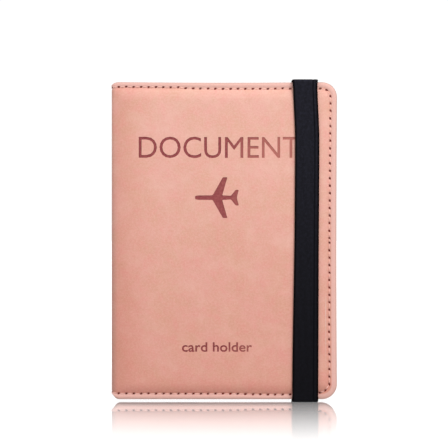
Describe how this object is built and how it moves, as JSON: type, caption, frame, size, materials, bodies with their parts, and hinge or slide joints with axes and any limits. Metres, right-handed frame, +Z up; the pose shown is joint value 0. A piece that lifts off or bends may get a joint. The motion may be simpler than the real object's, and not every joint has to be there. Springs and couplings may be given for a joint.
{
  "type": "passport holder",
  "caption": "Slim padded book-style travel document holder: two leather covers on a soft spine, pockets inside, and an elastic strap that holds it shut.",
  "frame": {"origin": "bottom centre of the closed holder's bounding box, with the holder standing on its bottom edge", "axes": "+Z up the holder's height, +X from the spine to the fore edge, +Y from the front cover to the back cover"},
  "size_m": [0.103, 0.0154, 0.1474],
  "materials": {
    "cover_leather": "soft matt nubuck grain",
    "lining_leather": "smooth matt",
    "thread": "twisted thread",
    "elastic": "ribbed woven elastic",
    "foam": "thin foam sheet",
    "board": "grey board"
  },
  "bodies": {
    "back_cover": {"back_leather": "cover_leather", "back_foam": "foam", "back_board": "board", "back_lining": "lining_leather", "back_seam_thread": "thread", "passport_pocket": "lining_leather", "strap_top_end": "elastic", "strap_bottom_end": "elastic"},
    "spine": {"spine_leather": "cover_leather", "spine_lining": "lining_leather", "spine_bottom_thread": "thread", "spine_top_thread": "thread", "front_fold_leather": "cover_leather", "rear_fold_leather": "cover_leather"},
    "front_cover": {"front_leather": "cover_leather", "front_foam": "foam", "front_board": "board", "front_lining": "lining_leather", "front_seam_thread": "thread", "ticket_pocket": "lining_leather", "card_pocket_rear": "lining_leather", "card_pocket_middle": "lining_leather", "card_pocket_front": "lining_leather", "sim_pocket": "lining_leather"},
    "strap": {"strap_front": "elastic", "strap_top_return": "elastic", "strap_bottom_return": "elastic"}
  },
  "joints": [
    {"name": "rear_fold", "type": "hinge", "parent": "back_cover", "child": "spine", "pos_m": [-0.05035, 0.00525, 0.0737], "axis": [0, 0, -1], "range_deg": [0, 90], "deforming": ["rear_fold_leather"]},
    {"name": "front_fold", "type": "hinge", "parent": "spine", "child": "front_cover", "pos_m": [-0.05035, -0.00415, 0.0737], "axis": [0, 0, -1], "range_deg": [0, 90], "deforming": ["front_fold_leather"]},
    {"name": "strap_slip", "type": "slide", "parent": "back_cover", "child": "strap", "axis": [1, 0, 0], "range_m": [0, 0.03], "deforming": ["strap_front"]}
  ],
  "couplings": [
    {"joint": "front_fold", "follows": "rear_fold", "ratio": 1}
  ]
}
